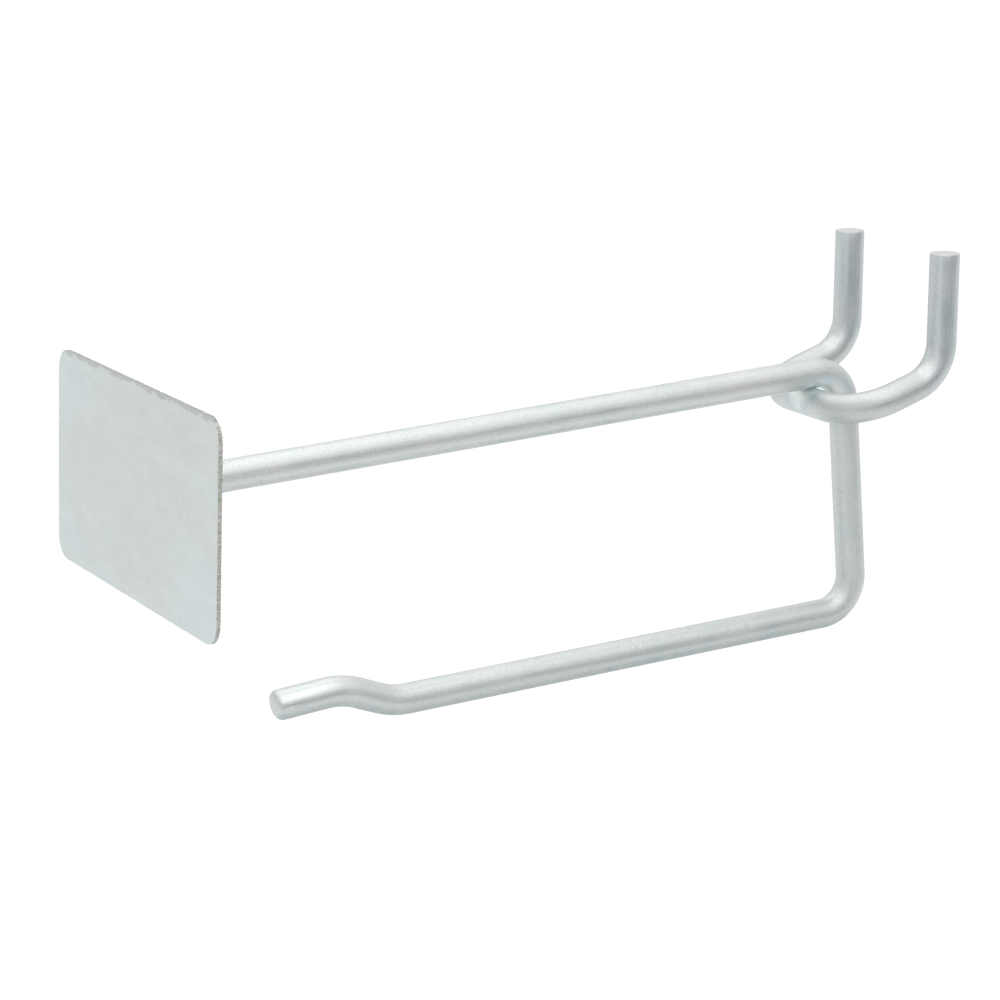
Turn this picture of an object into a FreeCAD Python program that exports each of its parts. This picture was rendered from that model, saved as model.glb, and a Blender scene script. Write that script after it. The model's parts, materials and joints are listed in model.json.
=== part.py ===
"""Wire pegboard hook with a label plate, in millimetres and degrees.

Two bent steel wires and a small sheet-steel plate, welded together and zinc plated.
The frame is the hook's place on a board: +Z is up and -Y points to the shopper. The
origin lies on the board's front face, midway between the two holes it hangs from.
"""
import FreeCAD, Part
import os
import Sketcher
from FreeCAD import Placement, Rotation, Vector
from math import cos, radians, sin

START, END, CENTRE = 1, 2, 3
ORIGIN = (-1, START)
ALONG_X = Vector(1, 0, 0)

document = FreeCAD.newDocument("pegboard_hook")

# The driving dimensions: a name, its value and what it measures.
# A bent wire's lengths run from corner to corner of its axis, and its radii are the axis's own.
DIMENSIONS = [
    ("wire_diameter", 4.75, "both wires"),
    ("arm_rise_angle", 2.5, "climb of the upper arm towards its front, degrees"),
    ("upper_length", 123.0, "upper arm, from the drop to the back of the plate"),
    ("drop_height", 40.8, "drop, from the upper arm to the lower arm"),
    ("arm_bend_radius", 5.8, "bends at both ends of the drop"),
    ("lower_rise_angle", 3.2, "climb of the lower arm towards its front, degrees"),
    ("lower_length", 85.7, "lower arm, from the drop to the nose's first corner"),
    ("nose_angle", 23.0, "climb of the nose over the lower arm, degrees"),
    ("nose_run", 9.2, "nose, between its two corners"),
    ("nose_bend_radius", 12.5, "both bends of the nose"),
    ("nose_dip_angle", 3.0, "fall of the nose's end against the lower arm, degrees"),
    ("nose_end", 11.6, "nose, from its second corner to its end"),
    ("nose_round", 1.4, "rounding of the nose's end"),
    ("prong_spacing", 25.4, "between the prongs, the pitch of a board's holes"),
    ("bar_setback", 9.0, "crossbar in front of the board's face"),
    ("bar_bend_radius", 7.8, "bends from the crossbar into its legs"),
    ("leg_rise_angle", 12.5, "climb of the legs towards the back, degrees"),
    ("weld_depth", 0.25, "how far the crossbar and the upper arm sink into each other"),
    ("prong_setback", 7.6, "prongs behind the board's face, at the holes"),
    ("prong_bend_radius", 7.0, "bends from the legs up into the prongs"),
    ("prong_lean_angle", 5.0, "lean of the prongs towards the back, degrees"),
    ("prong_height", 21.1, "prongs' cut ends above the holes"),
    ("prong_chamfer", 0.2, "chamfer of the prongs' cut ends"),
    ("plate_width", 57.0, "label plate, across"),
    ("plate_height", 32.0, "label plate, bottom to top"),
    ("plate_thickness", 0.6, "label plate's sheet"),
    ("plate_corner_radius", 3.4, "label plate's corners"),
    ("plate_lean_angle", 7.0, "lean of the label plate towards the back, degrees"),
    ("bead_width", 0.7, "weld bead behind the plate, out from the upper arm's wire"),
    ("bead_length", 1.0, "weld bead behind the plate, along the upper arm"),
    ("bead_chamfer", 0.5, "chamfer of the weld bead"),
]

sizes = document.addObject("Spreadsheet::Sheet", "Sizes")
for row, (name, value, meaning) in enumerate(DIMENSIONS, start=1):
    sizes.set(f"A{row}", name)
    sizes.set(f"B{row}", str(value))
    sizes.set(f"C{row}", meaning)
    sizes.setAlias(f"B{row}", name)
document.recompute()

# Lengths that follow from the driving ones.
# The legs climb through the origin, so the crossbar lies below it and the arm lies on the crossbar.
DROP_PLACE = "-Sizes.wire_diameter / 2"
ARM_OVER_BAR = "(Sizes.wire_diameter - Sizes.weld_depth) / cos(Sizes.arm_rise_angle)"
BAR_LEVEL = "-Sizes.bar_setback * tan(Sizes.leg_rise_angle)"
ARM_CLIMB_TO_BAR = "(Sizes.bar_setback - Sizes.wire_diameter / 2) * tan(Sizes.arm_rise_angle)"
ARM_LEVEL = f"({ARM_OVER_BAR} + {BAR_LEVEL} - {ARM_CLIMB_TO_BAR})"
LEG_FRONT = "(Sizes.bar_setback / cos(Sizes.leg_rise_angle))"
LEG_BACK = (
    "(Sizes.prong_setback"
    " / (cos(Sizes.leg_rise_angle) - sin(Sizes.leg_rise_angle) * tan(Sizes.prong_lean_angle)))"
)
PRONG_TURN = "(90 - Sizes.prong_lean_angle - Sizes.leg_rise_angle)"
PRONG_RUN = f"((Sizes.prong_height - {LEG_BACK} * sin(Sizes.leg_rise_angle)) / cos(Sizes.prong_lean_angle))"


def number(holder, expression):
    """The present value of a sheet expression, as a plain number."""
    value = holder.evalExpression(expression)
    return float(getattr(value, "Value", value))


def new_sketch(body, name, role, offset=Placement()):
    """A sketch on one of the body's own planes, moved and turned by an offset."""
    sketch = body.newObject("Sketcher::SketchObject", name)
    plane = next(item for item in body.Origin.OriginFeatures if item.Role == role)
    sketch.AttachmentSupport = (plane, [""])
    sketch.MapMode = "FlatFace"
    sketch.AttachmentOffset = offset
    return sketch


def dimension(sketch, name, kind, targets, expression):
    """A named constraint that follows the sheet."""
    value = number(sketch, expression)
    if kind == "Angle":
        value = radians(value)
    index = sketch.addConstraint(Sketcher.Constraint(kind, *targets, value))
    sketch.renameConstraint(index, name)
    sketch.setExpression(f"Constraints.{name}", expression)


def draw_axis(sketch, start, heading, steps):
    """Draws a bent wire's axis: runs from corner to corner, with a tangent arc at each corner.

    The steps are a run, a bend, a run and so on. A run is a length, and a bend is a radius
    and a turn, which is positive to the left. All are sheet expressions.
    """
    bends = steps[1::2]
    setbacks = ["0"] + [f"{radius} * tan(abs({turn}) / 2)" for radius, turn in bends] + ["0"]
    point = Vector(number(sketch, start[0]), number(sketch, start[1]), 0)
    previous = None
    for index, run in enumerate(steps[0::2]):
        length = f"{run} - {setbacks[index]} - {setbacks[index + 1]}"
        angle = radians(number(sketch, heading))
        ahead = Vector(cos(angle), sin(angle), 0)
        corner_side = point + ahead * number(sketch, length)
        line = sketch.addGeometry(Part.LineSegment(point, corner_side), False)
        if previous is None:
            dimension(sketch, "start_across", "DistanceX", (*ORIGIN, line, START), start[0])
            dimension(sketch, "start_up", "DistanceY", (*ORIGIN, line, START), start[1])
        else:
            sketch.addConstraint(Sketcher.Constraint("Tangent", *previous, line, START))
        dimension(sketch, f"length_{index}", "Distance", (line,), length)
        dimension(sketch, f"heading_{index}", "Angle", (line,), heading)
        if index == len(bends):
            break
        radius, turn = bends[index]
        sweep = radians(number(sketch, turn))
        left = 1 if sweep > 0 else -1
        to_centre = Vector(-ahead.y, ahead.x, 0) * left * number(sketch, radius)
        centre = corner_side + to_centre
        circle = Part.Circle(centre, Vector(0, 0, 1), to_centre.Length)
        begin = circle.parameter(corner_side)
        span = (begin, begin + sweep) if left > 0 else (begin + sweep, begin)
        arc = sketch.addGeometry(Part.ArcOfCircle(circle, *span), False)
        entry, leave = (START, END) if left > 0 else (END, START)
        sketch.addConstraint(Sketcher.Constraint("Tangent", line, END, arc, entry))
        dimension(sketch, f"radius_{index}", "Radius", (arc,), radius)
        previous = (arc, leave)
        point = circle.value(begin + sweep)
        heading = f"{heading} + {turn}"


def sweep_wire(body, name, axis):
    """A round wire along an axis sketch, from a circle set square on its first run."""
    document.recompute()
    section = body.newObject("Sketcher::SketchObject", f"{name}_section")
    section.AttachmentSupport = (axis, ["Edge1"])
    section.MapMode = "NormalToEdge"
    section.MapPathParameter = 0.0
    circle = section.addGeometry(Part.Circle(Vector(), Vector(0, 0, 1), 1), False)
    section.addConstraint(Sketcher.Constraint("Coincident", circle, CENTRE, *ORIGIN))
    dimension(section, "diameter", "Diameter", (circle,), "Sizes.wire_diameter")
    pipe = body.newObject("PartDesign::AdditivePipe", name)
    pipe.Profile = section
    pipe.Spine = axis
    pipe.Mode = "Frenet"
    document.recompute()
    return pipe


def round_edges(shape):
    """A solid's circular edges, as pairs of a name and a circle."""
    return [
        (f"Edge{place}", edge.Curve)
        for place, edge in enumerate(shape.Edges, start=1)
        if isinstance(edge.Curve, Part.Circle)
    ]


def plate_plane(body, name):
    """A sketch on the back face of the label plate, centred on the upper arm and facing forward."""
    sketch = new_sketch(body, name, "XZ_Plane", Placement(Vector(), Rotation(ALONG_X, -1)))
    forward = f"Sizes.upper_length * cos(Sizes.arm_rise_angle) - ({DROP_PLACE})"
    sketch.setExpression("AttachmentOffset.Base.z", forward)
    up = f"{ARM_LEVEL} + Sizes.upper_length * sin(Sizes.arm_rise_angle)"
    sketch.setExpression("AttachmentOffset.Base.y", up)
    sketch.setExpression("AttachmentOffset.Rotation.Angle", "-Sizes.plate_lean_angle")
    return sketch


def plate_circle(body, name, radius):
    """A circle on the back face of the label plate, around the upper arm's end."""
    sketch = plate_plane(body, name)
    circle = sketch.addGeometry(Part.Circle(Vector(), Vector(0, 0, 1), 1), False)
    sketch.addConstraint(Sketcher.Constraint("Coincident", circle, CENTRE, *ORIGIN))
    dimension(sketch, "radius", "Radius", (circle,), radius)
    return sketch


# Arm wire: one wire bent into the upper arm, the drop against the board, and the lower arm
# that carries the goods, with a raised nose that stops them from sliding off.
arm_body = document.addObject("PartDesign::Body", "arm_body")
arm_axis = new_sketch(arm_body, "arm_axis", "YZ_Plane")
arm_stock = "(Sizes.upper_length + Sizes.wire_diameter / 2)"
arm_front = f"{DROP_PLACE} - {arm_stock} * cos(Sizes.arm_rise_angle)"
arm_top = f"{ARM_LEVEL} + {arm_stock} * sin(Sizes.arm_rise_angle)"
draw_axis(
    arm_axis,
    (arm_front, arm_top),
    "-Sizes.arm_rise_angle",
    [
        arm_stock,
        ("Sizes.arm_bend_radius", "(Sizes.arm_rise_angle - 90)"),
        "Sizes.drop_height",
        ("Sizes.arm_bend_radius", "(-90 - Sizes.lower_rise_angle)"),
        "Sizes.lower_length",
        ("Sizes.nose_bend_radius", "(-Sizes.nose_angle)"),
        "Sizes.nose_run",
        ("Sizes.nose_bend_radius", "(Sizes.nose_angle + Sizes.nose_dip_angle)"),
        "Sizes.nose_end",
    ],
)
arm_pipe = sweep_wire(arm_body, "arm_pipe", arm_axis)

# The front end is cut flat, at the plate's lean, so that the plate's back seats on it.
seat = arm_body.newObject("PartDesign::Pocket", "seat")
seat.Profile = plate_circle(arm_body, "seat_sketch", "Sizes.wire_diameter")
seat.Reversed = True
seat.setExpression("Length", "2 * Sizes.wire_diameter")
document.recompute()
if seat.Shape.Volume >= arm_pipe.Shape.Volume:
    raise RuntimeError("the plate's seat cuts nothing off the arm")

# Welding that end to the plate squeezes a low bead of metal out around it.
bead_radius = "Sizes.wire_diameter / 2 + Sizes.bead_width"
bead_pad = arm_body.newObject("PartDesign::Pad", "bead_pad")
bead_pad.Profile = plate_circle(arm_body, "bead_sketch", bead_radius)
bead_pad.Reversed = True
bead_pad.setExpression("Length", "Sizes.bead_length")
document.recompute()
if bead_pad.Shape.Volume <= seat.Shape.Volume:
    raise RuntimeError("the weld bead adds nothing to the arm")
bead_edges = [
    (name, circle)
    for name, circle in round_edges(bead_pad.Shape)
    if abs(circle.Radius - number(sizes, bead_radius)) < 1e-6
]
bead_rim, _ = max(bead_edges, key=lambda edge: edge[1].Center.y)
bead = arm_body.newObject("PartDesign::Chamfer", "bead")
bead.Base = (bead_pad, [bead_rim])
bead.setExpression("Size", "Sizes.bead_chamfer")
document.recompute()

# The nose's end has its cut edge tumbled round.
lower_edges = [(name, circle) for name, circle in round_edges(bead.Shape) if circle.Center.z < 0]
nose_rim, _ = min(lower_edges, key=lambda edge: edge[1].Center.y)
nose = arm_body.newObject("PartDesign::Fillet", "nose")
nose.Base = (bead, [nose_rim])
nose.setExpression("Radius", "Sizes.nose_round")
arm_body.Tip = nose
arm_body.Label = "arm_wire"
document.recompute()

# Prong wire: one wire bent into a U whose crossbar lies under the upper arm. Its legs pass
# through the board's holes and turn up behind the board as two prongs with flat-cut ends.
prong_body = document.addObject("PartDesign::Body", "prong_body")
leg_middle = (
    f"((Sizes.bar_bend_radius + {LEG_FRONT} + {LEG_BACK}"
    f" - Sizes.prong_bend_radius * tan({PRONG_TURN} / 2)) / 2)"
)
bar_axis = new_sketch(prong_body, "bar_axis", "XY_Plane", Placement(Vector(), Rotation(ALONG_X, 1)))
bar_axis.setExpression("AttachmentOffset.Rotation.Angle", "Sizes.leg_rise_angle")
draw_axis(
    bar_axis,
    ("0", f"-{LEG_FRONT}"),
    "0",
    ["Sizes.prong_spacing / 2", ("Sizes.bar_bend_radius", "90"), leg_middle],
)
bar_pipe = sweep_wire(prong_body, "bar_pipe", bar_axis)

prong_axis = new_sketch(prong_body, "prong_axis", "YZ_Plane")
prong_axis.setExpression("AttachmentOffset.Base.z", "Sizes.prong_spacing / 2")
past_board = f"({leg_middle} - {LEG_FRONT})"
draw_axis(
    prong_axis,
    (f"{past_board} * cos(Sizes.leg_rise_angle)", f"{past_board} * sin(Sizes.leg_rise_angle)"),
    "Sizes.leg_rise_angle",
    [f"({LEG_BACK} - {past_board})", ("Sizes.prong_bend_radius", PRONG_TURN), PRONG_RUN],
)
prong_pipe = sweep_wire(prong_body, "prong_pipe", prong_axis)

other_half = prong_body.newObject("PartDesign::Mirrored", "other_half")
other_half.Originals = [bar_pipe, prong_pipe]
middle_plane = next(item for item in prong_body.Origin.OriginFeatures if item.Role == "YZ_Plane")
other_half.MirrorPlane = (middle_plane, [""])
prong_body.Tip = other_half
document.recompute()

# Both cut ends have their sharp edge taken off.
end_level = max(circle.Center.z for name, circle in round_edges(other_half.Shape))
end_rims = [name for name, circle in round_edges(other_half.Shape) if end_level - circle.Center.z < 1e-6]
prong_ends = prong_body.newObject("PartDesign::Chamfer", "prong_ends")
prong_ends.Base = (other_half, end_rims)
prong_ends.setExpression("Size", "Sizes.prong_chamfer")
prong_body.Tip = prong_ends
document.recompute()

# The crossbar is welded to the arm: the arm's form is taken out of it, so the two meet face to face.
prong_wire = document.addObject("Part::Cut", "prong_wire")
prong_wire.Base = prong_body
prong_wire.Tool = arm_body
prong_wire.Label = "prong_wire"

# Label plate: sheared sheet with rounded corners, welded by its back to the upper arm's end.
plate_body = document.addObject("PartDesign::Body", "plate_body")
plate_sketch = plate_plane(plate_body, "plate_sketch")
half_width = number(sizes, "plate_width") / 2
half_height = number(sizes, "plate_height") / 2
corner_points = [
    Vector(-half_width, -half_height, 0),
    Vector(half_width, -half_height, 0),
    Vector(half_width, half_height, 0),
    Vector(-half_width, half_height, 0),
]
bottom, right, top, left = [
    plate_sketch.addGeometry(Part.LineSegment(corner_points[i - 1], corner_points[i]), False)
    for i in (1, 2, 3, 0)
]
for before, after in ((bottom, right), (right, top), (top, left), (left, bottom)):
    plate_sketch.addConstraint(Sketcher.Constraint("Coincident", before, END, after, START))
for line, direction in ((bottom, "Horizontal"), (right, "Vertical"), (top, "Horizontal"), (left, "Vertical")):
    plate_sketch.addConstraint(Sketcher.Constraint(direction, line))
plate_sketch.addConstraint(Sketcher.Constraint("Symmetric", bottom, START, right, END, *ORIGIN))
dimension(plate_sketch, "width", "Distance", (bottom,), "Sizes.plate_width")
dimension(plate_sketch, "height", "Distance", (right,), "Sizes.plate_height")
sheet_pad = plate_body.newObject("PartDesign::Pad", "sheet_pad")
sheet_pad.Profile = plate_sketch
sheet_pad.setExpression("Length", "Sizes.plate_thickness")
document.recompute()
corner_edges = [
    f"Edge{place}"
    for place, edge in enumerate(sheet_pad.Shape.Edges, start=1)
    if abs(edge.Length - sheet_pad.Length.Value) < 1e-6
]
corners = plate_body.newObject("PartDesign::Fillet", "corners")
corners.Base = (sheet_pad, corner_edges)
corners.setExpression("Radius", "Sizes.plate_corner_radius")
plate_body.Tip = corners
plate_body.Label = "label_plate"
document.recompute()

# Every object has to be sound before anything is written.
for item in document.Objects:
    if {"Invalid", "Error"} & set(item.State):
        raise RuntimeError(f"{item.Name} failed: {item.State}")
os.makedirs("parts", exist_ok=True)
for piece in (arm_body, prong_wire, plate_body):
    shape = piece.Shape
    if shape.isNull() or not shape.isValid() or len(shape.Solids) != 1:
        raise RuntimeError(f"{piece.Label} isn't one sound solid")
    shape.exportStep(f"parts/{piece.Label}.step")
    print(piece.Label, round(shape.Volume, 2), shape.BoundBox)
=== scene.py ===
"""Wire pegboard hook with a label plate: its finish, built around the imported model, in metres."""
import json
from math import ceil, cos, pi, radians, sin, tan

import bmesh
import bpy
from mathutils import Matrix, Vector


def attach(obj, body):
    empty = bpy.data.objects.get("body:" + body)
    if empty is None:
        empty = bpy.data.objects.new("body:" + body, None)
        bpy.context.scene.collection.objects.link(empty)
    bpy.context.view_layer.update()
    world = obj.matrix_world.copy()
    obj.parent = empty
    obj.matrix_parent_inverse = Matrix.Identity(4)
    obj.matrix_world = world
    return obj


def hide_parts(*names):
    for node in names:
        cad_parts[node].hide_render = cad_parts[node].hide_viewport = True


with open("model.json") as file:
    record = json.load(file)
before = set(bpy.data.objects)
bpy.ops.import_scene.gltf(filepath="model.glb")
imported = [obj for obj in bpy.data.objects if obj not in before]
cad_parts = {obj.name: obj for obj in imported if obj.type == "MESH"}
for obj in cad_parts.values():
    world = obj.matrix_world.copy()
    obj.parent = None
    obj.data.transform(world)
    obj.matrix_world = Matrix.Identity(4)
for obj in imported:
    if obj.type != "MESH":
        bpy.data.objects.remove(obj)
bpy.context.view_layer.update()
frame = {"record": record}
mounts = {mount["name"]: mount for mount in frame["record"]["mounts"]}

# Arm wire: one drawn steel wire, bent cold into the upper arm, the drop that leans on the board
# and the lower arm with its raised nose. The whole hook is zinc plated after it is welded, which
# leaves a satin grey skin over the fine lines that the drawing die cut along the wire.
WIRE_RADIUS = 0.002375
ARM_RISE = 2.5
ARM_BEND_RADIUS = 0.0058
LOWER_LENGTH = 0.0857
LOWER_RISE = 3.2
NOSE_ANGLE = 23.0
NOSE_RUN = 0.0092
NOSE_BEND_RADIUS = 0.0125
NOSE_DIP = 3.0
NOSE_END = 0.0116
NOSE_CUT_DOWN = -5.0
NOSE_CUT_ASIDE = 6.0
NOSE_ROUND = 0.0013
NOSE_ROUND_STEPS = 7
PLATE_THICKNESS = 0.0006
RING_POINTS = 64
RING_SPACING = 0.0025
BEND_STEP = radians(4)
ARM_PIN_FORCE = 0.35
PRESSED_BESIDE = 0.5
PRESSED_INSIDE = 1.1
WIRE_SMOOTH = radians(40)


def mark_ring(wire, length, pin_force=0, bend_centre=Vector(), bend_radius=0):
    """Writes how far along the wire its newest ring lies, and how hard a bending pin pressed it.

    The pin stood inside the bend, so it pressed the inner side most.
    """
    mesh = bmesh.from_edit_mesh(wire.data)
    straight = mesh.verts.layers.float_vector["straight"]
    pressed = mesh.verts.layers.float["pressed"]
    for vertex in mesh.verts:
        if vertex.select:
            place = vertex[straight].copy()
            place.z = length
            vertex[straight] = place
            inwards = (bend_radius - (vertex.co - bend_centre).length) / WIRE_RADIUS
            share = PRESSED_BESIDE + (PRESSED_INSIDE - PRESSED_BESIDE) * inwards
            vertex[pressed] = pin_force * min(1, max(0, share))
    bmesh.update_edit_mesh(wire.data)


def bend_wire(name, corners, bend_radii, pin_force):
    """A round wire through its corners: the runs are extruded and the bends are spun.

    Its attribute "straight" keeps where each point lay before the wire was bent, and "pressed" is
    up to the pin's force inside the bends. It stays in edit mode with the last ring selected.
    """
    ways = [(after - before).normalized() for before, after in zip(corners, corners[1:])]
    turns = [before.angle(after) for before, after in zip(ways, ways[1:])]
    setbacks = [0] + [radius * tan(turn / 2) for radius, turn in zip(bend_radii, turns)] + [0]
    bpy.ops.object.select_all(action="DESELECT")
    across = ways[0].to_track_quat("Z", "Y").to_euler()
    bpy.ops.mesh.primitive_circle_add(
        vertices=RING_POINTS, radius=WIRE_RADIUS, location=corners[0], rotation=across
    )
    wire = bpy.context.object
    wire.name = name
    straight = wire.data.attributes.new("straight", "FLOAT_VECTOR", "POINT")
    for place, vertex in zip(straight.data, wire.data.vertices):
        place.vector = vertex.co
    wire.data.attributes.new("pressed", "FLOAT", "POINT")
    bpy.ops.object.transform_apply()
    bpy.ops.object.mode_set(mode="EDIT")
    bpy.ops.mesh.select_all(action="SELECT")
    length = 0
    for index, way in enumerate(ways):
        run = (corners[index + 1] - corners[index]).length - setbacks[index] - setbacks[index + 1]
        rings = ceil(run / RING_SPACING)
        for ring in range(rings):
            bpy.ops.mesh.extrude_region_move(TRANSFORM_OT_translate={"value": way * run / rings})
            length += run / rings
            mark_ring(wire, length)
        if index == len(turns):
            break
        axis = way.cross(ways[index + 1]).normalized()
        bend_start = corners[index + 1] - way * setbacks[index + 1]
        centre = bend_start + axis.cross(way) * bend_radii[index]
        rings = ceil(turns[index] / BEND_STEP)
        for ring in range(rings):
            bpy.ops.mesh.spin(steps=1, angle=-turns[index] / rings, center=centre, axis=axis)
            length += bend_radii[index] * turns[index] / rings
            force = pin_force * sin(pi * (ring + 1) / rings)
            mark_ring(wire, length, force, centre, bend_radii[index])
    return wire


def close_end(rounding, segments):
    """Fills the selected ring and rounds its rim, as a cut end that has been tumbled."""
    bpy.ops.mesh.edge_face_add()
    bpy.ops.mesh.bevel(offset=rounding, segments=segments, profile=0.5, affect="EDGES")


def select_first_ring(wire):
    """Selects the ring that a wire was drawn from."""
    bpy.ops.mesh.select_all(action="DESELECT")
    mesh = bmesh.from_edit_mesh(wire.data)
    for edge in mesh.edges:
        if edge.is_boundary:
            edge.select_set(True)
    bmesh.update_edit_mesh(wire.data)


def leave_edit(piece, smooth_angle):
    """Turns all faces outwards, leaves edit mode and shades the piece smooth up to an angle."""
    bpy.ops.mesh.select_all(action="SELECT")
    bpy.ops.mesh.normals_make_consistent(inside=False)
    bpy.ops.object.mode_set(mode="OBJECT")
    bpy.ops.object.shade_smooth_by_angle(angle=smooth_angle)


def to_front(climb):
    """The direction to the shopper that climbs by an angle in degrees."""
    return Vector((0, -cos(radians(climb)), sin(radians(climb))))


label_centre = Vector(mounts["label_face"]["pos_m"])
label_front = Vector(mounts["label_face"]["axis"])
arm_end = label_centre - label_front * PLATE_THICKNESS
plate_to_drop = (-WIRE_RADIUS - arm_end.y) / cos(radians(ARM_RISE))
upper_corner = arm_end - to_front(ARM_RISE) * plate_to_drop
goods_point = Vector(mounts["goods_arm"]["pos_m"])
goods_to_drop = (-WIRE_RADIUS - goods_point.y) / cos(radians(LOWER_RISE))
lower_corner = goods_point - to_front(LOWER_RISE) * goods_to_drop
nose_foot = lower_corner + to_front(LOWER_RISE) * LOWER_LENGTH
nose_top = nose_foot + to_front(LOWER_RISE + NOSE_ANGLE) * NOSE_RUN
nose_tip = nose_top + to_front(LOWER_RISE - NOSE_DIP) * NOSE_END
arm_wire = bend_wire(
    "bent_arm",
    [arm_end, upper_corner, lower_corner, nose_foot, nose_top, nose_tip],
    [ARM_BEND_RADIUS, ARM_BEND_RADIUS, NOSE_BEND_RADIUS, NOSE_BEND_RADIUS],
    ARM_PIN_FORCE,
)
bpy.ops.transform.rotate(value=radians(NOSE_CUT_DOWN), orient_axis="X", center_override=nose_tip)
bpy.ops.transform.rotate(value=radians(NOSE_CUT_ASIDE), orient_axis="Z", center_override=nose_tip)
close_end(NOSE_ROUND, NOSE_ROUND_STEPS)
select_first_ring(arm_wire)
bpy.ops.mesh.edge_face_add()
leave_edit(arm_wire, WIRE_SMOOTH)

# The zinc on both wires: a cloudy cool grey with a fine frosted grain and faint lines along the
# wire, rubbed bright by the bending pins, duller on the prong wire's legs. The goods polished the
# nose, and there the colour also carries a painted highlight where a flat facet would shine.
# Passivation leaves a pale rainbow on the upper bend, and cut ends show the blade's lines. Around
# the weld the grey is painted lighter, a painted light over the shade between the two wires, and
# tinted teal.
ZINC_COOL = (0.597, 0.634, 0.628, 1)
ZINC_WARM = (0.658, 0.676, 0.660, 1)
# Rubbed zinc on the bends, also the painted highlight on the nose's band.
RUBBED_AND_HIGHLIGHT = (0.790, 0.800, 0.790, 1)
RAINBOW_STRAW = (1.030, 0.985, 0.945, 1)
RAINBOW_BLUE = (0.905, 0.968, 1.035, 1)
# Painted light: the zinc around the weld is lightened over the shade between the two wires.
WELD_PAINTED_LIGHT = (1.320, 1.330, 1.330, 1)
WELD_TEAL = (0.945, 0.990, 1.000, 1)
LEGS_DULL = (0.880, 0.876, 0.882, 1)
PRONGS_COOL = (1.007, 1.050, 1.072, 1)
PLAIN = (1, 1, 1, 1)
CLOUDS_PER_METRE = 150
GRAINS_PER_METRE = 2600
LINES_ACROSS = 5200
LINES_ALONG = 45
RUBS_ACROSS = 2200
RUBS_ALONG = 700
SPECKS_PER_METRE = 800
NOISE_RANGE = (0.3, 0.7)
RUBS_SHOW = (0.48, 0.57)
RUB_STRENGTH = 0.6
# The nose's band: zinc polished by the goods, lightened as a painted highlight.
WEAR_AND_HIGHLIGHT_NOSE = 0.013
WEAR_AND_HIGHLIGHT_STRENGTH = 0.5
WEAR_AND_HIGHLIGHT_EDGE = (-0.08, -0.18)
WEAR_AND_HIGHLIGHT_TOP = (-0.95, -0.6)
WEAR_AND_HIGHLIGHT_NARROWING = (0.35, -0.22)
ZINC_ROUGHNESS = (0.45, 0.55)
LINE_ROUGHNESS = 0.05
RUB_POLISH = 0.14
PRONG_POLISH = 0.11
LINE_DEPTH = 0.000006
GRAIN_DEPTH = 0.000012
BAR_SETBACK = 0.0090
LEGS_ASIDE = (0.0050, 0.0090)
BEHIND_BOARD = (0.002, 0.008)
RAINBOW_REACH = 0.0065
WELD_LIGHT_AND_TEAL_REACH = 0.0058


def noise(nodes, links, coordinates, scale, detail, roughness=0.5):
    """A noise pattern on coordinates in metres, stretched by a scale for each axis."""
    mapping = nodes.new("ShaderNodeMapping")
    mapping.inputs["Scale"].default_value = scale
    pattern = nodes.new("ShaderNodeTexNoise")
    pattern.inputs["Scale"].default_value = 1
    pattern.inputs["Detail"].default_value = detail
    pattern.inputs["Roughness"].default_value = roughness
    links.new(coordinates, mapping.inputs["Vector"])
    links.new(mapping.outputs["Vector"], pattern.inputs["Vector"])
    return pattern.outputs["Fac"]


def ramp(nodes, links, value, stops):
    """Colours for a value from 0 to 1, from pairs of a position and a colour."""
    colours = nodes.new("ShaderNodeValToRGB")
    first, last = colours.color_ramp.elements
    first.position, first.color = stops[0]
    last.position, last.color = stops[-1]
    for position, colour in stops[1:-1]:
        colours.color_ramp.elements.new(position).color = colour
    links.new(value, colours.inputs["Fac"])
    return colours.outputs["Color"]


def span(nodes, links, value, low, high, to_low, to_high):
    """A value moved from one range to another."""
    move = nodes.new("ShaderNodeMapRange")
    move.inputs["From Min"].default_value = low
    move.inputs["From Max"].default_value = high
    move.inputs["To Min"].default_value = to_low
    move.inputs["To Max"].default_value = to_high
    links.new(value, move.inputs["Value"])
    return move.outputs["Result"]


def arithmetic(nodes, links, operation, first, second):
    """Two values, or a value and a number, put together."""
    sum_node = nodes.new("ShaderNodeMath")
    sum_node.operation = operation
    links.new(first, sum_node.inputs[0])
    if isinstance(second, (int, float)):
        sum_node.inputs[1].default_value = second
    else:
        links.new(second, sum_node.inputs[1])
    return sum_node.outputs["Value"]


def mix(nodes, links, blend, amount, first, second):
    """Two colours mixed by an amount, which is a number or a value."""
    mixer = nodes.new("ShaderNodeMix")
    mixer.data_type = "RGBA"
    mixer.blend_type = blend
    sockets = (mixer.inputs[0], mixer.inputs[6], mixer.inputs[7])
    for socket, content in zip(sockets, (amount, first, second)):
        if isinstance(content, (int, float, tuple)):
            socket.default_value = content
        else:
            links.new(content, socket)
    return mixer.outputs[2]


def bump(nodes, links, height, depth, under=None):
    """Relief of a depth in metres, over other relief."""
    relief = nodes.new("ShaderNodeBump")
    relief.inputs["Distance"].default_value = depth
    links.new(height, relief.inputs["Height"])
    if under:
        links.new(under, relief.inputs["Normal"])
    return relief.outputs["Normal"]


def new_metal(name):
    """A bare metal: its material, nodes, links, shader, and the place of each point in metres."""
    metal = bpy.data.materials.new(name)
    metal.use_nodes = True
    nodes = metal.node_tree.nodes
    shader = nodes["Principled BSDF"]
    shader.inputs["Metallic"].default_value = 1
    place = nodes.new("ShaderNodeTexCoord").outputs["Object"]
    return metal, nodes, metal.node_tree.links, shader, place


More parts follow.
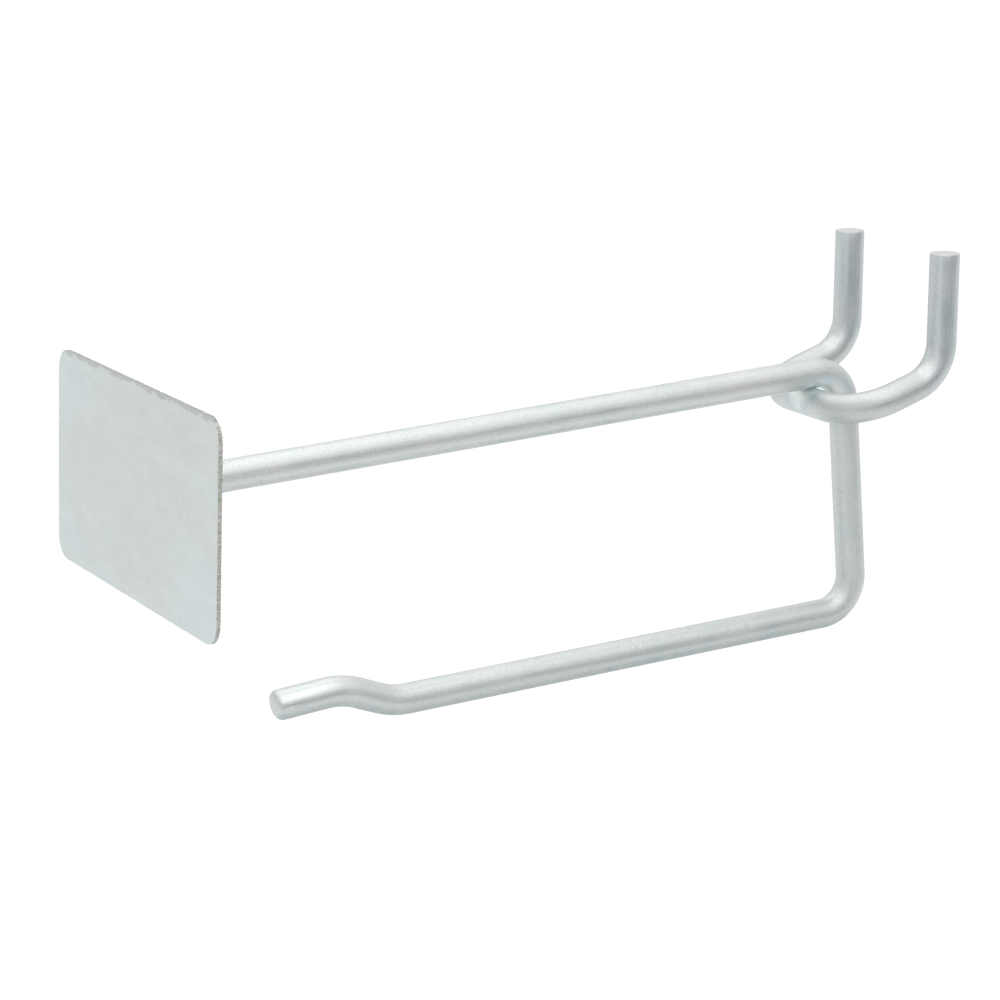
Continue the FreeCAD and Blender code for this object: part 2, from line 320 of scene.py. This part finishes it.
bar_top = upper_corner + to_front(ARM_RISE) * (BAR_SETBACK - WIRE_RADIUS)
weld_point = bar_top - Vector((0, 0, WIRE_RADIUS))
rainbow_point = upper_corner + WIRE_RADIUS * Vector((0.5, -1.2, -1.35))
zinc_wire, nodes, links, shader, place = new_metal("zinc_on_wire")
straight_node = nodes.new("ShaderNodeAttribute")
straight_node.attribute_name = "straight"
straight_place = straight_node.outputs["Vector"]
clouds = noise(nodes, links, place, (CLOUDS_PER_METRE,) * 3, 4)
grain = noise(nodes, links, place, (GRAINS_PER_METRE,) * 3, 5, 0.65)
lines = noise(nodes, links, straight_place, (LINES_ACROSS, LINES_ACROSS, LINES_ALONG), 3)
skin = ramp(nodes, links, clouds, [(0.32, ZINC_COOL), (0.68, ZINC_WARM)])
grain_stops = [(0.25, (0.86, 0.86, 0.86, 1)), (0.7, (1.04, 1.04, 1.04, 1))]
grain_shade = ramp(nodes, links, grain, grain_stops)
skin = mix(nodes, links, "MULTIPLY", 1.0, skin, grain_shade)
line_stops = [(0.3, (0.92, 0.92, 0.93, 1)), (0.7, (1.03, 1.03, 1.03, 1))]
line_shade = ramp(nodes, links, lines, line_stops)
skin = mix(nodes, links, "MULTIPLY", 1.0, skin, line_shade)
specks = noise(nodes, links, place, (SPECKS_PER_METRE,) * 3, 2)
speck_shade = ramp(nodes, links, specks, [(0.24, (0.8, 0.8, 0.8, 1)), (0.30, PLAIN)])
skin = mix(nodes, links, "MULTIPLY", 1.0, skin, speck_shade)
rubs = noise(nodes, links, straight_place, (RUBS_ACROSS, RUBS_ACROSS, RUBS_ALONG), 8, 0.8)
pressed_node = nodes.new("ShaderNodeAttribute")
pressed_node.attribute_name = "pressed"
rubs_and_highlight = span(nodes, links, rubs, *RUBS_SHOW, 0, RUB_STRENGTH)
rubs_and_highlight = arithmetic(nodes, links, "MULTIPLY", rubs_and_highlight, pressed_node.outputs["Fac"])
along = nodes.new("ShaderNodeSeparateXYZ")
links.new(straight_place, along.inputs["Vector"])
length = along.outputs["Z"]
full_length = max(mark.vector.z for mark in arm_wire.data.attributes["straight"].data)
wear_and_highlight_start = full_length - WEAR_AND_HIGHLIGHT_NOSE
wear_and_highlight_full = full_length - 0.4 * WEAR_AND_HIGHLIGHT_NOSE
tip_start = full_length - NOSE_ROUND
tip_full = full_length - 0.4 * NOSE_ROUND
# Nose band: polished wear plus a painted highlight, shaped where a flat facet would shine.
wear_and_highlight = span(nodes, links, length, wear_and_highlight_start, wear_and_highlight_full, 0, WEAR_AND_HIGHLIGHT_STRENGTH)
tip = span(nodes, links, length, tip_start, tip_full, 1, 0)
wear_and_highlight = arithmetic(nodes, links, "MULTIPLY", wear_and_highlight, tip)
side = span(nodes, links, along.outputs["Y"], -WIRE_RADIUS, WIRE_RADIUS, -1, 1)
side = arithmetic(nodes, links, "ADD", side, span(nodes, links, rubs, *NOISE_RANGE, -0.2, 0.2))
narrowing = span(nodes, links, length, wear_and_highlight_start, full_length, *WEAR_AND_HIGHLIGHT_NARROWING)
side = arithmetic(nodes, links, "ADD", side, narrowing)
wear_and_highlight = arithmetic(nodes, links, "MULTIPLY", wear_and_highlight, span(nodes, links, side, *WEAR_AND_HIGHLIGHT_EDGE, 0, 1))
wear_and_highlight = arithmetic(nodes, links, "MULTIPLY", wear_and_highlight, span(nodes, links, side, *WEAR_AND_HIGHLIGHT_TOP, 0.2, 1))
# Bend rubs and the nose's painted highlight share the rubbed colour.
rubs_and_highlight = arithmetic(nodes, links, "MAXIMUM", rubs_and_highlight, wear_and_highlight)
skin = mix(nodes, links, "MIX", rubs_and_highlight, skin, RUBBED_AND_HIGHLIGHT)
# Near the weld: painted light over the shade between crossbar and arm, then a teal tint.
tints = [
    (weld_point, WELD_LIGHT_AND_TEAL_REACH, [(0.35, WELD_PAINTED_LIGHT), (0.6, WELD_TEAL), (1.0, PLAIN)]),
    (rainbow_point, RAINBOW_REACH, [(0.22, RAINBOW_STRAW), (0.44, RAINBOW_BLUE), (0.72, PLAIN)]),
]
for centre, reach, stops in tints:
    away = nodes.new("ShaderNodeVectorMath")
    away.operation = "DISTANCE"
    away.inputs[1].default_value = centre
    links.new(place, away.inputs[0])
    spread = span(nodes, links, away.outputs["Value"], 0, reach, 0, 1)
    ragged = span(nodes, links, clouds, *NOISE_RANGE, -0.15, 0.15)
    spread = arithmetic(nodes, links, "ADD", spread, ragged)
    skin = mix(nodes, links, "MULTIPLY", 1.0, skin, ramp(nodes, links, spread, stops))
spot = nodes.new("ShaderNodeSeparateXYZ")
links.new(place, spot.inputs["Vector"])
behind = span(nodes, links, spot.outputs["Y"], *BEHIND_BOARD, 0, 1)
aside = nodes.new("ShaderNodeMath")
aside.operation = "ABSOLUTE"
links.new(spot.outputs["X"], aside.inputs[0])
on_legs = span(nodes, links, aside.outputs["Value"], *LEGS_ASIDE, 0, 1)
legs_tint = mix(nodes, links, "MIX", on_legs, PLAIN, LEGS_DULL)
skin = mix(nodes, links, "MULTIPLY", 1.0, skin, legs_tint)
prongs_tint = mix(nodes, links, "MIX", behind, PLAIN, PRONGS_COOL)
skin = mix(nodes, links, "MULTIPLY", 1.0, skin, prongs_tint)
links.new(skin, shader.inputs["Base Color"])
gloss = span(nodes, links, clouds, *NOISE_RANGE, *ZINC_ROUGHNESS)
lined = span(nodes, links, lines, *NOISE_RANGE, -LINE_ROUGHNESS, LINE_ROUGHNESS)
gloss = arithmetic(nodes, links, "ADD", gloss, lined)
polish = span(nodes, links, rubs_and_highlight, 0, RUB_STRENGTH, 0, RUB_POLISH)
gloss = arithmetic(nodes, links, "SUBTRACT", gloss, polish)
polish = span(nodes, links, behind, 0, 1, 0, PRONG_POLISH)
gloss = arithmetic(nodes, links, "SUBTRACT", gloss, polish)
links.new(gloss, shader.inputs["Roughness"])
relief = bump(nodes, links, lines, LINE_DEPTH)
relief = bump(nodes, links, grain, GRAIN_DEPTH, relief)
links.new(relief, shader.inputs["Normal"])

CUT_DARK = (0.480, 0.490, 0.475, 1)
CUT_LIGHT = (0.640, 0.645, 0.625, 1)
CUT_ROUGHNESS = 0.48
BLADE_LINES = 2600
BLADE_DEPTH = 0.00004
cut_end, nodes, links, shader, place = new_metal("cut_end")
shader.inputs["Roughness"].default_value = CUT_ROUGHNESS
blade = noise(nodes, links, place, (BLADE_LINES, 0.25 * BLADE_LINES, 0.25 * BLADE_LINES), 5, 0.6)
skin = ramp(nodes, links, blade, [(0.3, CUT_DARK), (0.6, CUT_LIGHT)])
links.new(skin, shader.inputs["Base Color"])
links.new(bump(nodes, links, blade, BLADE_DEPTH), shader.inputs["Normal"])


def finish_wire(wire):
    """Zinc along a wire, and the shear blade's lines on its flat ends."""
    wire.data.materials.append(zinc_wire)
    wire.data.materials.append(cut_end)
    for face in wire.data.polygons:
        face.material_index = int(len(face.vertices) == RING_POINTS)
    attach(wire, "root")


finish_wire(arm_wire)
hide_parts("arm_wire")

# Prong wire: a second length of the same wire, bent into a bow. Its crossbar lies under the upper
# arm, its legs climb back through the board's holes, and its ends, cut square, turn up behind it.
LEG_RISE = 12.5
BAR_BEND_RADIUS = 0.0078
PRONG_BEND_RADIUS = 0.0070
PRONG_CHAMFER = 0.00014
PRONG_CHAMFER_STEPS = 2
PRONG_PIN_FORCE = 0.85
leg_slope = tan(radians(LEG_RISE))
prong_middle = Vector(mounts["prong_right"]["pos_m"])
prong_up = Vector(mounts["prong_right"]["axis"])
prong_length = mounts["prong_right"]["dims"]["length_mm"] / 1000
prong_end = prong_middle + prong_up * prong_length / 2
above_leg = prong_middle.z - prong_middle.y * leg_slope
down_to_leg = above_leg / (prong_up.z - prong_up.y * leg_slope)
leg_corner = prong_middle - prong_up * down_to_leg
bar_corner = Vector((prong_middle.x, -BAR_SETBACK, -BAR_SETBACK * leg_slope))
to_other_side = Matrix.Scale(-1, 3, (1, 0, 0))
right_half = [bar_corner, leg_corner, prong_end]
left_half = [to_other_side @ corner for corner in reversed(right_half)]
prong_wire = bend_wire(
    "prong_bow",
    left_half + right_half,
    [PRONG_BEND_RADIUS, BAR_BEND_RADIUS, BAR_BEND_RADIUS, PRONG_BEND_RADIUS],
    PRONG_PIN_FORCE,
)
close_end(PRONG_CHAMFER, PRONG_CHAMFER_STEPS)
select_first_ring(prong_wire)
close_end(PRONG_CHAMFER, PRONG_CHAMFER_STEPS)
leave_edit(prong_wire, WIRE_SMOOTH)
finish_wire(prong_wire)
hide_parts("prong_wire")

# Weld of the two wires: they are pressed together hot, so a low rim of metal is squeezed out around
# the place where the crossbar sinks into the underside of the upper arm.
WELD_RADIUS = 0.00110
WELD_RIM = 0.00015
WELD_LUMPS = 0.00003
WELD_SMOOTH = radians(60)
bpy.ops.object.select_all(action="DESELECT")
bpy.ops.mesh.primitive_torus_add(
    major_segments=56, minor_segments=16, major_radius=WELD_RADIUS, minor_radius=WELD_RIM
)
wire_weld = bpy.context.object
wire_weld.name = "wire_weld"
bpy.ops.object.mode_set(mode="EDIT")
mesh = bmesh.from_edit_mesh(wire_weld.data)
for vertex in mesh.verts:
    vertex.co.z += (vertex.co.x ** 2 - vertex.co.y ** 2) / (4 * WIRE_RADIUS)
bmesh.update_edit_mesh(wire_weld.data)
bpy.ops.mesh.select_all(action="SELECT")
bpy.ops.transform.vertex_random(offset=WELD_LUMPS, seed=4)
bpy.ops.mesh.vertices_smooth(factor=0.5, repeat=2)
bpy.ops.transform.translate(value=weld_point)
leave_edit(wire_weld, WELD_SMOOTH)
wire_weld.data.materials.append(zinc_wire)
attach(wire_weld, "root")

# Label plate: thin cold-rolled sheet, sheared to size with rounded corners and welded by its back
# to the upper arm's end. Shearing rolls the front edge over and leaves a torn, grainy side.
PLATE_WIDTH = 0.057
PLATE_HEIGHT = 0.032
PLATE_CORNER = 0.0034
EDGE_BAND = 0.0005
EDGE_ROLL = 0.00032
EDGE_STEP = 0.0004
EDGE_TEAR = 0.00004
PLATE_SMOOTH = radians(50)
FACING = 0.9
FLAT = 0.999


def select_faces(piece, test):
    """Selects the faces whose normal passes a test."""
    bpy.ops.mesh.select_all(action="DESELECT")
    mesh = bmesh.from_edit_mesh(piece.data)
    for face in mesh.faces:
        face.select_set(test(face.normal))
    bmesh.update_edit_mesh(piece.data)


lean = label_front.to_track_quat("Z", "Y").to_euler()
bpy.ops.object.select_all(action="DESELECT")
bpy.ops.mesh.primitive_plane_add(size=1, location=arm_end, rotation=lean)
plate = bpy.context.object
plate.name = "sheet_plate"
plate.scale = (PLATE_WIDTH - 2 * EDGE_TEAR, PLATE_HEIGHT - 2 * EDGE_TEAR, 1)
bpy.ops.object.transform_apply()
bpy.ops.object.mode_set(mode="EDIT")
bpy.ops.mesh.select_all(action="SELECT")
bpy.ops.mesh.bevel(offset=PLATE_CORNER, segments=14, profile=0.5, affect="VERTICES")
for straight_edge in (PLATE_WIDTH - 2 * PLATE_CORNER, PLATE_HEIGHT - 2 * PLATE_CORNER):
    bpy.ops.mesh.select_all(action="DESELECT")
    mesh = bmesh.from_edit_mesh(plate.data)
    for edge in mesh.edges:
        edge.select_set(abs(edge.calc_length() - straight_edge) < EDGE_STEP)
    bmesh.update_edit_mesh(plate.data)
    bpy.ops.mesh.subdivide(number_cuts=round(straight_edge / EDGE_STEP))
bpy.ops.mesh.select_all(action="SELECT")
bpy.ops.mesh.extrude_region_move(TRANSFORM_OT_translate={"value": label_front * PLATE_THICKNESS})
bpy.ops.mesh.select_all(action="SELECT")
bpy.ops.mesh.normals_make_consistent(inside=False)
select_faces(plate, lambda normal: normal.dot(label_front) > FACING)
bpy.ops.mesh.bevel(offset=EDGE_ROLL, segments=4, profile=0.5, affect="EDGES")
select_faces(plate, lambda normal: normal.dot(label_front) > FLAT)
bpy.ops.mesh.inset(thickness=EDGE_BAND)
select_faces(plate, lambda normal: normal.dot(label_front) < -FACING)
bpy.ops.mesh.inset(thickness=EDGE_BAND)
select_faces(plate, lambda normal: abs(normal.dot(label_front)) < FACING)
bpy.ops.transform.vertex_random(offset=EDGE_TEAR, seed=7)
leave_edit(plate, PLATE_SMOOTH)

# The zinc on the sheet: matt and cloudy, cooler towards the edges, where plating lies thicker, with
# faint rolling lines. The sheared side took less zinc, so it is browner, with fine tears across it.
# The upper edge has a ragged dark band: a scrape, darkened further as painted shade where the
# rolled edge faces the soft box, and darker still as painted shade on the sheared side's top.
SHEET_COOL = (0.615, 0.675, 0.675, 1)
SHEET_PALE = (0.625, 0.660, 0.655, 1)
SHEET_WARM = (0.628, 0.652, 0.645, 1)
TORN_DARK = (0.400, 0.400, 0.370, 1)
TORN_LIGHT = (0.610, 0.610, 0.580, 1)
# The upper band's colours: scrape marks darkened as painted shade.
SCRAPE_AND_SHADE_DARK = (0.390, 0.405, 0.390, 1)
SCRAPE_AND_SHADE_LIGHT = (0.560, 0.580, 0.565, 1)
SCRAPE_AND_SHADE_DEPTH = 0.0006
SCRAPE_AND_SHADE_STRENGTH = 0.85
SCRAPES_PER_METRE = 380
SCRAPE_PATCHES = 0.0005
SCRAPE_RAGS = 0.0003
# Painted shade on the upper band: none on the face, darker on the sheared side's top.
SHEET_PAINTED_SHADE = 1.0
SIDE_PAINTED_SHADE = 0.8
RINSES_PER_METRE = 75
RINSE_SCALE = (0.5 * RINSES_PER_METRE, RINSES_PER_METRE, RINSES_PER_METRE)
SCUFFS_PER_METRE = 420
SCUFF_SCALE = (0.4 * SCUFFS_PER_METRE, SCUFFS_PER_METRE, SCUFFS_PER_METRE)
SHEET_ROUGHNESS = (0.44, 0.56)
ROLLING_ROUGHNESS = 0.03
ROLLING_DEPTH = 0.000004
SHEET_GRAIN_DEPTH = 0.000010
TORN_ROUGHNESS = 0.75
TEAR_DEPTH = 0.00004
ROLLING_ACROSS = 60
ROLLING_ALONG = 900
TEARS_PER_METRE = 5600
TEAR_SCALE = (TEARS_PER_METRE, 0.3 * TEARS_PER_METRE, TEARS_PER_METRE)
plate_up = Vector((0, label_front.z, -label_front.y))


def scrape_and_shade_top(nodes, links, place, skin, shade):
    """The sheet's colour with a ragged band along its upper edge: a scrape with painted shade,
    times a further painted shade.
    """
    height = nodes.new("ShaderNodeVectorMath")
    height.operation = "DOT_PRODUCT"
    height.inputs[1].default_value = plate_up
    links.new(place, height.inputs[0])
    patches = noise(nodes, links, place, (SCRAPES_PER_METRE,) * 3, 3)
    ragged = noise(nodes, links, place, TEAR_SCALE, 3, 0.6)
    edge = arithmetic(
        nodes,
        links,
        "ADD",
        span(nodes, links, patches, *NOISE_RANGE, -SCRAPE_PATCHES, SCRAPE_PATCHES),
        span(nodes, links, ragged, *NOISE_RANGE, -SCRAPE_RAGS, SCRAPE_RAGS),
    )
    level = arithmetic(nodes, links, "ADD", height.outputs["Value"], edge)
    top = arm_end.dot(plate_up) + PLATE_HEIGHT / 2
    band_start = top - SCRAPE_AND_SHADE_DEPTH
    band_full = top - 0.8 * SCRAPE_AND_SHADE_DEPTH
    band = span(nodes, links, level, band_start, band_full, 0, SCRAPE_AND_SHADE_STRENGTH)
    scraped_and_shaded = ramp(nodes, links, ragged, [(0.4, SCRAPE_AND_SHADE_DARK), (0.6, SCRAPE_AND_SHADE_LIGHT)])
    scraped_and_shaded = mix(nodes, links, "MULTIPLY", 1.0, scraped_and_shaded, (shade, shade, shade, 1))
    return mix(nodes, links, "MIX", band, skin, scraped_and_shaded)


zinc_sheet, nodes, links, shader, place = new_metal("zinc_on_sheet")
clouds = noise(nodes, links, place, RINSE_SCALE, 6, 0.62)
from_middle = nodes.new("ShaderNodeMapping")
from_middle.inputs["Scale"].default_value = (2 / PLATE_WIDTH, 0, 2 / PLATE_HEIGHT)
from_middle.inputs["Location"].default_value = (0, 0, -2 * arm_end.z / PLATE_HEIGHT)
links.new(place, from_middle.inputs["Vector"])
outwards = nodes.new("ShaderNodeVectorMath")
outwards.operation = "LENGTH"
links.new(from_middle.outputs["Vector"], outwards.inputs[0])
thicker = span(nodes, links, outwards.outputs["Value"], 0.3, 1.2, 0.09, -0.1)
clouds = arithmetic(nodes, links, "ADD", clouds, thicker)
grain = noise(nodes, links, place, (GRAINS_PER_METRE,) * 3, 5, 0.65)
scuffs = noise(nodes, links, place, SCUFF_SCALE, 8, 0.7)
rolling = noise(nodes, links, place, (ROLLING_ACROSS, ROLLING_ACROSS, ROLLING_ALONG), 3)
skin = ramp(nodes, links, clouds, [(0.38, SHEET_COOL), (0.5, SHEET_PALE), (0.60, SHEET_WARM)])
grain_stops = [(0.25, (0.93, 0.93, 0.93, 1)), (0.7, (1.03, 1.03, 1.03, 1))]
grain_shade = ramp(nodes, links, grain, grain_stops)
skin = mix(nodes, links, "MULTIPLY", 1.0, skin, grain_shade)
scuff_stops = [(0.3, (0.965, 0.965, 0.965, 1)), (0.65, (1.03, 1.03, 1.03, 1))]
scuff_shade = ramp(nodes, links, scuffs, scuff_stops)
skin = mix(nodes, links, "MULTIPLY", 1.0, skin, scuff_shade)
# Upper band on the face: a scrape with painted shade.
skin = scrape_and_shade_top(nodes, links, place, skin, SHEET_PAINTED_SHADE)
links.new(skin, shader.inputs["Base Color"])
gloss = span(nodes, links, clouds, *NOISE_RANGE, *SHEET_ROUGHNESS)
rolled = span(nodes, links, rolling, *NOISE_RANGE, -ROLLING_ROUGHNESS, ROLLING_ROUGHNESS)
gloss = arithmetic(nodes, links, "ADD", gloss, rolled)
links.new(gloss, shader.inputs["Roughness"])
relief = bump(nodes, links, rolling, ROLLING_DEPTH)
relief = bump(nodes, links, grain, SHEET_GRAIN_DEPTH, relief)
links.new(relief, shader.inputs["Normal"])

torn_edge, nodes, links, shader, place = new_metal("sheared_edge")
shader.inputs["Roughness"].default_value = TORN_ROUGHNESS
tears = noise(nodes, links, place, TEAR_SCALE, 2)
skin = ramp(nodes, links, tears, [(0.35, TORN_DARK), (0.6, TORN_LIGHT)])
# Painted shade: the upper band is darker again on the sheared side.
skin = scrape_and_shade_top(nodes, links, place, skin, SIDE_PAINTED_SHADE)
links.new(skin, shader.inputs["Base Color"])
links.new(bump(nodes, links, tears, TEAR_DEPTH), shader.inputs["Normal"])

plate.data.materials.append(zinc_sheet)
plate.data.materials.append(torn_edge)
for face in plate.data.polygons:
    face.material_index = int(abs(face.normal.dot(label_front)) < FACING)
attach(plate, "root")
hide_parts("label_plate")

# Weld of the plate: the arm's end is pressed into the back of the sheet under current, and a soft
# bead of steel swells out around it before the hook is plated.
BEAD_RADIUS = 0.00055
BEAD_LUMPS = 0.00006
BEAD_BACK = 0.7 * BEAD_RADIUS
bpy.ops.object.select_all(action="DESELECT")
bpy.ops.mesh.primitive_torus_add(
    major_segments=64,
    minor_segments=18,
    major_radius=WIRE_RADIUS,
    minor_radius=BEAD_RADIUS,
    location=arm_end - label_front * BEAD_BACK,
    rotation=lean,
)
plate_weld = bpy.context.object
plate_weld.name = "plate_weld"
bpy.ops.object.transform_apply()
bpy.ops.object.mode_set(mode="EDIT")
bpy.ops.mesh.select_all(action="SELECT")
bpy.ops.transform.vertex_random(offset=BEAD_LUMPS, seed=2)
bpy.ops.mesh.vertices_smooth(factor=0.5, repeat=2)
leave_edit(plate_weld, WELD_SMOOTH)
plate_weld.data.materials.append(zinc_wire)
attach(plate_weld, "root")

# Studio: a plain white floor well below the hook, which hangs, in a white room under one broad soft
# box. Two grey cards, out of the camera's sight, are there for the metal to reflect: a tall curved
# one on the camera's side, and a small one under the lower arm.
FLOOR_LEVEL = -0.30
FLOOR_SIZE = 12
FLOOR_GLOW = 0.12
bpy.ops.object.select_all(action="DESELECT")
bpy.ops.mesh.primitive_plane_add(size=FLOOR_SIZE, location=(0, 0, FLOOR_LEVEL))
floor = bpy.context.object
floor.name = "floor"
floor_paint = bpy.data.materials.new("floor_paint")
floor_paint.use_nodes = True
nodes, links = floor_paint.node_tree.nodes, floor_paint.node_tree.links
shader = nodes["Principled BSDF"]
shader.inputs["Base Color"].default_value = (0.9, 0.9, 0.9, 1)
shader.inputs["Roughness"].default_value = 0.9
shader.inputs["Specular IOR Level"].default_value = 0
shader.inputs["Emission Color"].default_value = (1, 1, 1, 1)
ray = nodes.new("ShaderNodeLightPath").outputs
seen = arithmetic(nodes, links, "MAXIMUM", ray["Is Camera Ray"], ray["Is Glossy Ray"])
seen = arithmetic(nodes, links, "MAXIMUM", seen, ray["Is Transmission Ray"])
glow = arithmetic(nodes, links, "MULTIPLY", seen, FLOOR_GLOW)
links.new(glow, shader.inputs["Emission Strength"])
floor.data.materials.append(floor_paint)

CARD_DISTANCE = 0.9
CARD_HEIGHT = 0.48
CARD_START = 40
CARD_SWEEP = 115
CARD_GREY = (0.42, 0.42, 0.42, 1)
CARD_POINTS = 90


def paint_card(card, name, grey):
    """Matt paint on a card that only the metal sees."""
    paint = bpy.data.materials.new(name)
    paint.use_nodes = True
    shader = paint.node_tree.nodes["Principled BSDF"]
    shader.inputs["Base Color"].default_value = grey
    shader.inputs["Roughness"].default_value = 1
    card.data.materials.append(paint)
    card.visible_camera = False
    card.visible_shadow = False
    card.visible_diffuse = False


bpy.ops.object.select_all(action="DESELECT")
bpy.ops.mesh.primitive_circle_add(
    vertices=CARD_POINTS, radius=CARD_DISTANCE, location=(0, 0, FLOOR_LEVEL)
)
card = bpy.context.object
card.name = "grey_card"
bpy.ops.object.transform_apply()
bpy.ops.object.mode_set(mode="EDIT")
bpy.ops.mesh.select_all(action="DESELECT")
mesh = bmesh.from_edit_mesh(card.data)
card_middle = Matrix.Rotation(radians(CARD_START + CARD_SWEEP / 2), 3, "Z") @ Vector((0, -1, 0))
for vertex in mesh.verts:
    vertex.select_set(vertex.co.xy.angle(card_middle.xy) > radians(CARD_SWEEP / 2))
mesh.select_flush_mode()
bmesh.update_edit_mesh(card.data)
bpy.ops.mesh.delete(type="VERT")
bpy.ops.mesh.select_all(action="SELECT")
bpy.ops.mesh.extrude_region_move(TRANSFORM_OT_translate={"value": (0, 0, CARD_HEIGHT)})
bpy.ops.object.mode_set(mode="OBJECT")
paint_card(card, "card_paint", CARD_GREY)

LOW_CARD_SIZE = (0.036, 0.13)
LOW_CARD_GREY = (0.61, 0.645, 0.655, 1)
low_card_place = Vector((-0.004, -0.055, -0.051))
bpy.ops.object.select_all(action="DESELECT")
bpy.ops.mesh.primitive_plane_add(size=1, location=low_card_place)
low_card = bpy.context.object
low_card.name = "low_card"
low_card.scale = (*LOW_CARD_SIZE, 1)
bpy.ops.object.transform_apply()
paint_card(low_card, "low_card_paint", LOW_CARD_GREY)

SOFT_BOX_SIZE = (1.4, 0.8)
SOFT_BOX_WATTS = 3.1
SOFT_BOX_TILT = radians(-25)
soft_box_place = Vector((0.22, -0.12, 0.6))
bpy.ops.object.light_add(type="AREA", location=soft_box_place, rotation=(SOFT_BOX_TILT, 0, 0))
soft_box = bpy.context.object
soft_box.data.shape = "RECTANGLE"
soft_box.data.size, soft_box.data.size_y = SOFT_BOX_SIZE
soft_box.data.energy = SOFT_BOX_WATTS

world = bpy.data.worlds.new("white_room")
world.use_nodes = True
backdrop = world.node_tree.nodes["Background"]
backdrop.inputs["Color"].default_value = (1, 1, 1, 1)
backdrop.inputs["Strength"].default_value = 1.0
bpy.context.scene.world = world
bpy.context.scene.view_settings.view_transform = "Standard"

# Camera: before the hook's right side and a little above it, held with a slight roll, as in the
# photograph. Its place and lens follow from the straight edges seen there.
AZIMUTH = 61.4705
ELEVATION = 16.7671
ROLL = 4.3663
DISTANCE = 0.47457
LENS = 111.957
LOOKED_AT = Vector((0, -0.066725, -0.006286))
turn = Matrix.Rotation(radians(AZIMUTH), 3, "Z") @ Matrix.Rotation(radians(90 - ELEVATION), 3, "X")
bpy.ops.object.camera_add(
    location=LOOKED_AT + turn @ Vector((0, 0, DISTANCE)),
    rotation=(turn @ Matrix.Rotation(radians(-ROLL), 3, "Z")).to_euler(),
)
camera = bpy.context.object
camera.data.lens = LENS
camera.data.clip_start = 0.01
bpy.context.scene.camera = camera
